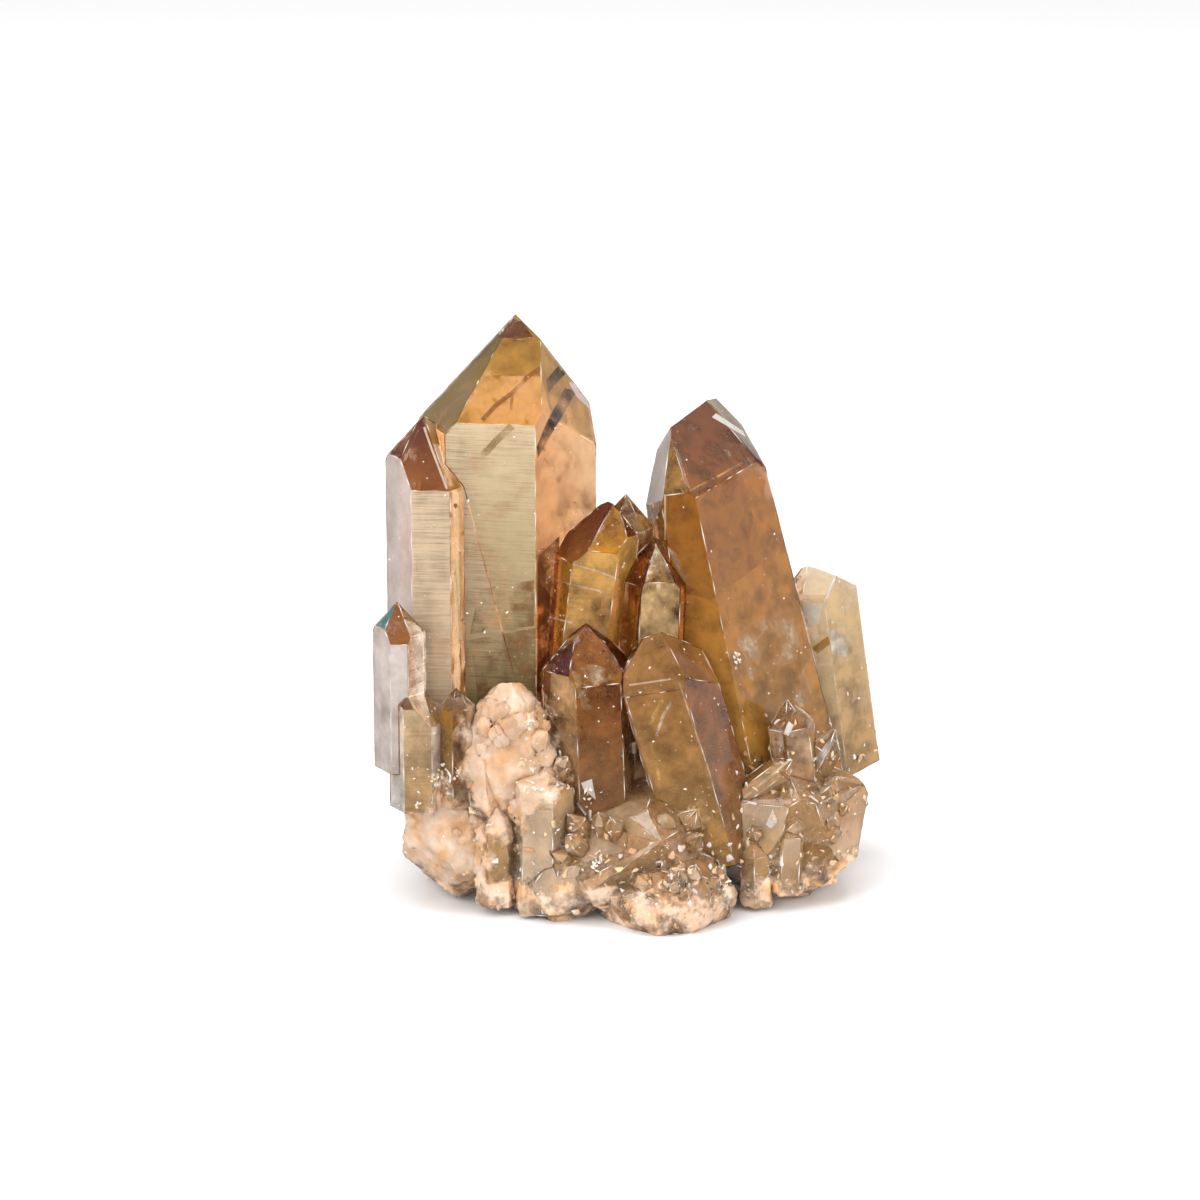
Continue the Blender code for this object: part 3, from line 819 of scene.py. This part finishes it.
class Pile:
    """Grains gathered into one mesh."""

    def __init__(self, dice):
        self.dice = dice
        self.grains = angular_grains(dice)
        self.corners, self.faces, self.tones = [], [], []

    def add(self, place, out, radius, tone, flat=(0.3, 0.7)):
        """Sets a grain into the ground at a place, flattened against it."""
        dice = self.dice
        turn = Vector((0, 0, 1)).rotation_difference(out).to_matrix()
        turn = turn @ Matrix.Rotation(dice.uniform(0, 6.3), 3, "Z")
        turn = turn @ Matrix.Rotation(dice.uniform(-0.7, 0.7), 3, "X")
        size = [radius * dice.uniform(*span) for span in ((0.8, 1.4), (0.4, 0.9), flat)]
        turn = turn @ Matrix.Diagonal(size)
        corners, faces = dice.choice(self.grains)
        start = len(self.corners)
        self.corners += [place + turn @ corner for corner in corners]
        self.faces += [[start + index for index in face] for face in faces]
        self.tones += [(*tone, 1.0)] * sum(len(face) for face in faces)

    def piece(self, name, material):
        mesh = bpy.data.meshes.new(name)
        mesh.from_pydata(self.corners, [], self.faces)
        tones = mesh.attributes.new("tone", "FLOAT_COLOR", "CORNER")
        tones.data.foreach_set("color", [part for tone in self.tones for part in tone])
        shape = bmesh.new()
        shape.from_mesh(mesh)
        bpy.data.meshes.remove(mesh)
        return new_piece(name, shape, material)


def inside(zone, place):
    """How far inside a zone a place in millimetres is: 1 at its centre, 0 at its rim."""
    centre, size = zone[:2]
    return 1.0 - math.sqrt(sum(((place[axis] - centre[axis]) / size[axis]) ** 2 for axis in range(3)))


def rubble(skin):
    """Angular grains on the root, some milky and some clear, and heaps of white chips."""
    ground = bmesh.new()
    ground.from_mesh(skin.data)
    ground.normal_update()
    tree = BVHTree.FromBMesh(ground)
    dice = random.Random(SEEDS["rubble"])
    milky, clear = Pile(dice), Pile(dice)
    for zone in RUBBLE.values():
        count, usual = zone[2:]
        def fits(spot, _):
            return inside(zone, spot) > 0 and spot.z > LOWEST_GRAIN
        for place, out in scattered(ground, count, dice, fits):
            radius = usual * MM * dice.uniform(0.4, 1.5)
            if place.z < 1.5 * radius:
                continue
            pile = clear if dice.random() < CLEAR_SHARE else milky
            pile.add(place, out, radius, linear(dice.choice(RUBBLE_TONES)))
    for pixel, spread, count, usual in CHIP_HEAPS.values():
        for _ in range(count):
            aim = (pixel[0] + dice.gauss(0, 0.5) * spread[0], pixel[1] + dice.gauss(0, 0.5) * spread[1])
            place, out, _, _ = tree.ray_cast(EYE, sight_line(aim))
            if place is not None and (place - EYE).length < VIEW_DISTANCE + CHIP_REACH:
                milky.add(place, out, usual * MM * dice.uniform(0.5, 1.5), linear(dice.choice(CHIP_TONES)))
    ground.free()
    milky.piece("rubble", sugar_quartz())
    clear.piece("clear_rubble", clear_sugar_quartz())


def rough_share(place):
    """How far a place is inside the rough ground, 0 to 1, and its zone's tilt, rise and cover.

    Where zones overlap, raised ones come first.
    """
    zones = [(clamp(inside(zone, place) * 2.2), *zone[2:]) for zone in ROUGH.values()]
    return max(zones, key=lambda found: (found[0] > 0.0 and found[2] > 0.0, found[0]))


def chipped(place, size):
    """The height of a broken surface at a place: flat chips of about one size, each tilted its own way."""
    _, seeds = noise.voronoi(place / size)
    tilt = noise.noise_vector(seeds[0] * 7.3)
    return tilt.dot(place - seeds[0] * size) + 0.35 * size * tilt.x


def rough_ground(skin, growth):
    """The broken, sugary parts of the root: an opaque skin of small tilted chips with a ragged rim."""
    noise.seed_set(SEEDS["chips"])
    shape = bmesh.new()
    shape.from_mesh(skin.data)
    outside = [face for face in shape.faces if rough_share(face.calc_center_median() / MM)[0] <= 0.0]
    bmesh.ops.delete(shape, geom=outside, context="FACES")
    refine(shape, CHIP_EDGE * MM)
    shape.normal_update()
    tone_layer = shape.verts.layers.float_color.new("tone")
    cover_layer = shape.verts.layers.float.new("cover")
    moves = []
    for corner in shape.verts:
        place = corner.co / MM
        share, tilt, rise, fullest = rough_share(place)
        height = tilt * sum(much * chipped(place, size) for size, much in CHIPS) * min(1.0, share * 2.0)
        heights = RAISED_HEIGHTS if rise > 0.0 else SUNK_HEIGHTS
        moves.append(corner.normal * clamp(height + rise, *heights) * MM)
        pale = clamp(0.5 + 0.9 * noise.noise(place * 0.5) + 0.5 * noise.noise(place * 1.7))
        if rise > 0.0:
            tone = between(between(linear("peach"), linear("clay"), 0.4), linear("snow"), pale * 0.5)
        else:
            tone = under_glass(between(root_tone(place), linear("cream"), pale * 0.7))
        brightness = THIN_BRIGHTNESS if fullest < 1.0 else FULL_BRIGHTNESS
        corner[tone_layer] = (*(part * brightness for part in tone), 1.0)
        corner[cover_layer] = min(share, fullest)
    for corner, move in zip(shape.verts, moves):
        corner.co += move
        corner.co.z = max(corner.co.z, 0.02 * MM)
    return new_piece("rough_ground", shape, sugar_quartz(growth))


def sugar_quartz(growth=None):
    """Opaque, sugary quartz in the tone kept on the mesh.

    Given the growth patterns, it is mottled and has a ragged rim.
    """
    name = "sugar grains" if growth is None else "broken sugar quartz"
    finish = {"Roughness": 0.35, "Coat Weight": 0.4, "Coat Roughness": 0.1}
    material, tree, shader = fresh_material(name, finish)
    tone = kept(tree, "tone", 0)
    if growth is None:
        tree.links.new(tone.outputs["Color"], shader.inputs["Base Color"])
        return material
    pattern = growth_node(tree, growth)
    shade = shaded(tree, tone.outputs["Color"], pattern.outputs["Cloud"], (0.35, 0.65, 0.7, 1.05))
    tree.links.new(shade, shader.inputs["Base Color"])
    bumps(tree, shader, pattern.outputs["Grain"], 0.7, 0.12 * MM)
    cover = kept(tree, "cover", -500)
    centred = sums(tree, "SUBTRACT", pattern.outputs["Cloud"], 0.5, -700, -600)
    ragged = sums(tree, "MULTIPLY", centred, 6.0, -500, -600)
    spread = sums(tree, "MULTIPLY", cover.outputs["Fac"], 3.0, -700, -800)
    risen = sums(tree, "SUBTRACT", spread, 0.5, -500, -800)
    alpha = sums(tree, "ADD", ragged, risen, -300, -700, clamped=True)
    tree.links.new(alpha, shader.inputs["Alpha"])
    return material


def clear_sugar_quartz():
    return plain_material("clear sugar quartz", {
        "Base Color": (1.0, 0.94, 0.86, 1.0), "Roughness": 0.04,
        "IOR": QUARTZ_IOR, "Transmission Weight": 1.0,
    })


def painted_edge_highlights(cad):
    """Pale threads along the sharp outer edges of the points, broken at random: painted highlights."""
    shape = whole_faces(cad.data)
    dice = random.Random(SEEDS["edges"])
    threads = bmesh.new()
    for edge in shape.edges:
        in_root = edge.verts[0].co.z < POINTS_START * MM and edge.verts[1].co.z < POINTS_START * MM
        shortest, radii = ROOT_THREADS if in_root else POINT_THREADS
        sharp = edge.is_convex and edge.calc_face_angle(0.0) >= SHARP_EDGE
        if not sharp or edge.calc_length() < shortest * MM:
            continue
        start, end = (corner.co for corner in edge.verts)
        along = (end - start).normalized()
        out = sum((face.normal for face in edge.link_faces), Vector()).normalized()
        side = along.cross(out)
        travelled = dice.uniform(0.0, 2.0) * MM
        while travelled < edge.calc_length() - 0.2 * MM:
            run = min(dice.uniform(*THREAD_RUNS) * MM, edge.calc_length() - travelled)
            radius = dice.uniform(*radii) * MM
            first = start + along * travelled
            last = start + along * (travelled + run)
            middle = (first + last) / 2
            ring = [middle + (out * math.cos(angle) + side * math.sin(angle)) * radius
                    for angle in (0.0, math.pi / 2, math.pi, 3 * math.pi / 2)]
            corners = [threads.verts.new(place) for place in [first] + ring + [last]]
            for index in range(4):
                after = index % 4 + 1
                following = (index + 1) % 4 + 1
                threads.faces.new((corners[0], corners[following], corners[after]))
                threads.faces.new((corners[5], corners[after], corners[following]))
            travelled += run + dice.expovariate(1.0) * 1.5 * MM
    shape.free()
    return new_piece("painted_edge_highlights", threads, edge_highlight_quartz())


def edge_highlight_quartz():
    return plain_material("edge highlight quartz", {"Base Color": (0.93, 0.86, 0.76, 1.0), "Roughness": 0.4})


def specks(skin):
    """Pale dust and tiny chips on the faces, also standing in for sparkles as painted highlights."""
    ground = bmesh.new()
    ground.from_mesh(skin.data)
    ground.normal_update()
    dice = random.Random(SEEDS["specks"])
    flakes = Pile(dice)
    smallest, extra, largest = SPECK_RADII
    for place, out in scattered(ground, SPECK_COUNT, dice, lambda spot, out: spot.z > 1.0 and out.z > -0.5):
        if place.z / MM < dice.uniform(*SPECK_HEIGHTS):
            radius = min(largest, smallest + dice.expovariate(1.0) * extra) * MM
            flakes.add(place, out, radius, linear("snow"))
    ground.free()
    return flakes.piece("specks", chip_quartz())


def golden_flakes(cad):
    """Thin bright cracks and films deep inside the points."""
    ground = whole_faces(cad.data)
    bmesh.ops.triangulate(ground, faces=ground.faces)
    ground.normal_update()
    tree = BVHTree.FromBMesh(ground)
    dice = random.Random(SEEDS["films"])
    films = Pile(dice)
    for place, out in scattered(ground, FILM_COUNT, dice, lambda spot, out: spot.z > FILM_HEIGHT):
        start = place - out * 0.05 * MM
        _, _, _, thickness = tree.ray_cast(start, -out)
        if thickness is None or thickness < FILM_ROOM * MM:
            continue
        depth = dice.uniform(*FILM_DEPTHS) * thickness
        tilt = Vector([dice.gauss(0, 1) for _ in range(3)]).normalized()
        radius = dice.uniform(*FILM_RADII) * MM
        films.add(place - out * depth, tilt, radius, linear("cream"), flat=FILM_FLATNESS)
    ground.free()
    return films.piece("golden_flakes", golden_film())


def golden_film():
    return plain_material("golden film", {
        "Base Color": (1.0, 0.86, 0.62, 1.0), "Metallic": 0.6, "Roughness": 0.3,
    })


def chip_quartz():
    return plain_material("chip quartz", {"Base Color": (0.92, 0.88, 0.8, 1.0), "Roughness": 0.35})


# The studio

def white_paper():
    return plain_material("white paper", {
        "Base Color": (0.93, 0.93, 0.94, 1.0), "Roughness": 0.9, "Specular IOR Level": 0.1,
    })


def studio_floor():
    """A wide sheet of paper, which lights the specimen but isn't mirrored in its faces."""
    mesh = bpy.data.meshes.new("floor")
    corners = [(x * FLOOR_HALF, y * FLOOR_HALF, 0) for x, y in ((-1, -1), (1, -1), (1, 1), (-1, 1))]
    mesh.from_pydata(corners, [], [(0, 1, 2, 3)])
    floor = bpy.data.objects.new("floor", mesh)
    mesh.materials.append(white_paper())
    floor.visible_glossy = False
    bpy.context.scene.collection.objects.link(floor)


def studio_sky():
    """Soft light, bright behind, beside and overhead and dim in front, over a dim lower room."""
    world = bpy.data.worlds.new("studio")
    bpy.context.scene.world = world
    world.use_nodes = True
    tree = world.node_tree
    sky = tree.nodes["Background"]
    where = node(tree, "ShaderNodeTexCoord", -900, 0)
    parts = node(tree, "ShaderNodeSeparateXYZ", -700, 0)
    tree.links.new(where.outputs["Generated"], parts.inputs[0])
    height = node(tree, "ShaderNodeMapRange", -500, 0)
    height.inputs["From Min"].default_value = -1.0
    tree.links.new(parts.outputs["Z"], height.inputs["Value"])
    ramp = node(tree, "ShaderNodeValToRGB", -300, 0)
    tree.links.new(height.outputs["Result"], ramp.inputs["Fac"])
    front = node(tree, "ShaderNodeMapRange", -500, -300)
    for name, value in (("From Min", -0.55), ("From Max", 0.0), ("To Min", DIM_FRONT), ("To Max", 1.0)):
        front.inputs[name].default_value = value
    tree.links.new(parts.outputs["Y"], front.inputs["Value"])
    level = node(tree, "ShaderNodeMix", -150, 0, data_type="RGBA", blend_type="MULTIPLY")
    level.inputs[0].default_value = 1.0
    tree.links.new(ramp.outputs["Color"], level.inputs[6])
    tree.links.new(front.outputs["Result"], level.inputs[7])
    tree.links.new(level.outputs[2], sky.inputs["Color"])
    stops = ramp.color_ramp.elements
    stops[0].position, stops[1].position = 0.0, 1.0
    stops[0].color = (SKY_BOTTOM, SKY_BOTTOM, SKY_BOTTOM, 1.0)
    stops[1].color = (1.0, 1.0, 1.0, 1.0)
    for position, light in SKY_BANDS:
        stops.new(position).color = (*(light * part for part in SKY_TINT), 1.0)
    sky.inputs["Strength"].default_value = SKY_STRENGTH


def softbox(name, place, aim, size, power, mirrored):
    lamp = bpy.data.lights.new(name, "AREA")
    lamp.shape = "RECTANGLE"
    lamp.size, lamp.size_y = size
    lamp.energy = power
    box = bpy.data.objects.new(name, lamp)
    box.location = place
    box.visible_glossy = mirrored
    box.rotation_euler = (Vector(aim) - Vector(place)).to_track_quat("-Z", "Y").to_euler()
    bpy.context.scene.collection.objects.link(box)


def camera():
    lens = bpy.data.cameras.new("view")
    lens.sensor_width = SENSOR_WIDTH
    lens.lens = FOCAL_PIXELS / PHOTO_SIDE * SENSOR_WIDTH
    lens.clip_start = 0.01
    eye = bpy.data.objects.new("view", lens)
    eye.location = EYE
    eye.rotation_euler = FORWARD.to_track_quat("-Z", "Y").to_euler()
    bpy.context.scene.collection.objects.link(eye)
    bpy.context.scene.camera = eye


def picture_settings():
    scene = bpy.context.scene
    scene.view_settings.view_transform = "Standard"
    scene.cycles.max_bounces = 10
    scene.cycles.transmission_bounces = 10
    scene.cycles.transparent_max_bounces = 12
    scene.cycles.diffuse_bounces = 2


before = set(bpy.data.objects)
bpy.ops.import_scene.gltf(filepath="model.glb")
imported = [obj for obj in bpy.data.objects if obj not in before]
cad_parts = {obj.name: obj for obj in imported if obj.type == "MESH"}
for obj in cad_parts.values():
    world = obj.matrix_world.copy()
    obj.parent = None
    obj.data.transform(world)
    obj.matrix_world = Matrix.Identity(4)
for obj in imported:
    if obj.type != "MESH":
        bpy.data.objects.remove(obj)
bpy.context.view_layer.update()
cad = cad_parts[CAD_NODE]
growth = quartz_growth()
skin = clear_crystals(cad, growth)
cloudy = clouded_quartz(growth)
clouded_sheets(cad, cloudy)
inner_veils(cad, cloudy)
inclusions(cad, cloudy)
milky_core(skin, growth)
rough_ground(skin, growth)
rubble(skin)
painted_edge_highlights(cad)
golden_flakes(cad)
specks(skin)
studio_floor()
studio_sky()
for name, box in SOFTBOXES.items():
    softbox(name, *box)
camera()
picture_settings()
